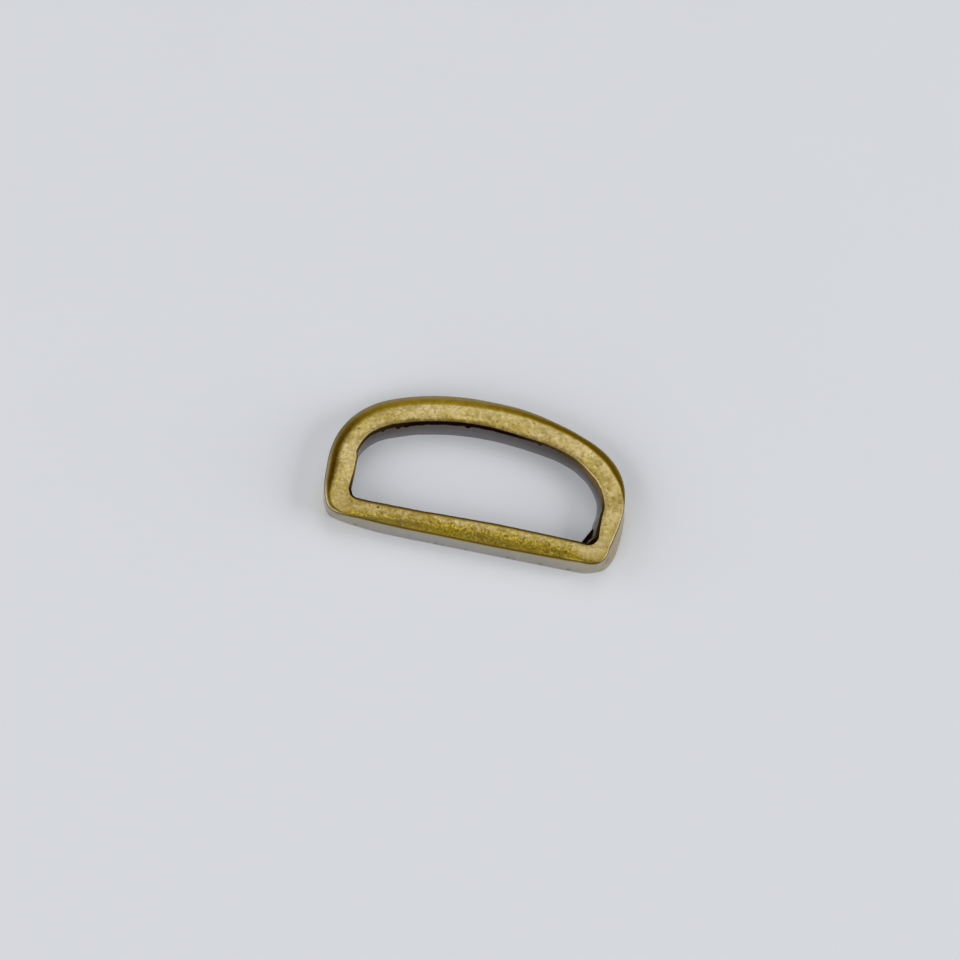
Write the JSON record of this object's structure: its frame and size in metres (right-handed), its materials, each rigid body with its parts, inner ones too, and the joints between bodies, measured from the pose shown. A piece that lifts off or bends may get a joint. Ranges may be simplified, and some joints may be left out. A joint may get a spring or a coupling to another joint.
{
  "type": "d-shaped strap loop",
  "caption": "Flat cast D-shaped strap loop in antique brass: a straight bar for a webbing strap, closed by a low arch with rounded shoulders.",
  "frame": {"origin": "middle of the loop's footprint, on its flat back", "axes": "+X along the bar, +Y from the bar to the arch, +Z from the flat back to the sanded face"},
  "size_m": [0.0304, 0.016, 0.0024],
  "materials": {
    "antique_brass": "antique brass plating: face sanded back to dull grained gold, dark patina left on the shoulders, glossy dark lacquer on the walls"
  },
  "bodies": {
    "root": {"strap_loop": "antique_brass"}
  },
  "joints": []
}
